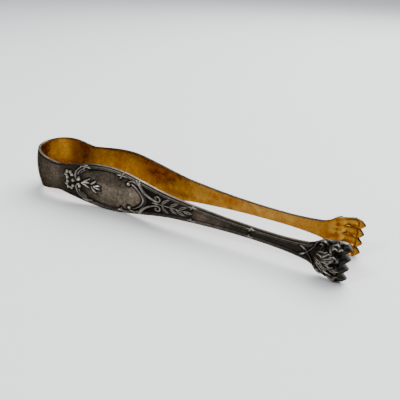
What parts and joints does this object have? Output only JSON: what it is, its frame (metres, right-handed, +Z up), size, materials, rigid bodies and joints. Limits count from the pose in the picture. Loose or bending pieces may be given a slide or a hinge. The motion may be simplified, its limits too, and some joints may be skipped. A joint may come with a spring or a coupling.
{
  "type": "sugar tongs",
  "caption": "Silver-plated sugar tongs, gilt inside: a sprung bow, and shaped arms with relief borders and an oval panel, each ending in a lion's paw with claws.",
  "frame": {"origin": "under the middle of the tongs' overall box, on the level of their lowest edges, as they lie on their edges", "axes": "+X runs along the tongs from the bow to the claws, +Y across from the near arm to the far arm, +Z up across the width of the strip"},
  "size_m": [0.1418, 0.0254, 0.0194],
  "materials": {
    "silver_plate": "tarnished silver plate outside, gilt inside"
  },
  "bodies": {
    "bow": {"spring_bow": "silver_plate"},
    "near_side": {"near_arm": "silver_plate", "near_paw": "silver_plate"},
    "far_side": {"far_arm": "silver_plate", "far_paw": "silver_plate"}
  },
  "joints": [
    {"name": "near_arm_squeeze", "type": "hinge", "parent": "bow", "child": "near_side", "pos_m": [-0.0511, -0.0114, 0.0097], "axis": [0, 0, 1], "range_deg": [0, 3.85], "stiffness_Nm_per_rad": 3.5},
    {"name": "far_arm_squeeze", "type": "hinge", "parent": "bow", "child": "far_side", "pos_m": [-0.0511, 0.0114, 0.0097], "axis": [0, 0, 1], "range_deg": [-3.85, 0], "stiffness_Nm_per_rad": 3.5}
  ],
  "couplings": [
    {"joint": "far_arm_squeeze", "follows": "near_arm_squeeze", "ratio": -1}
  ]
}
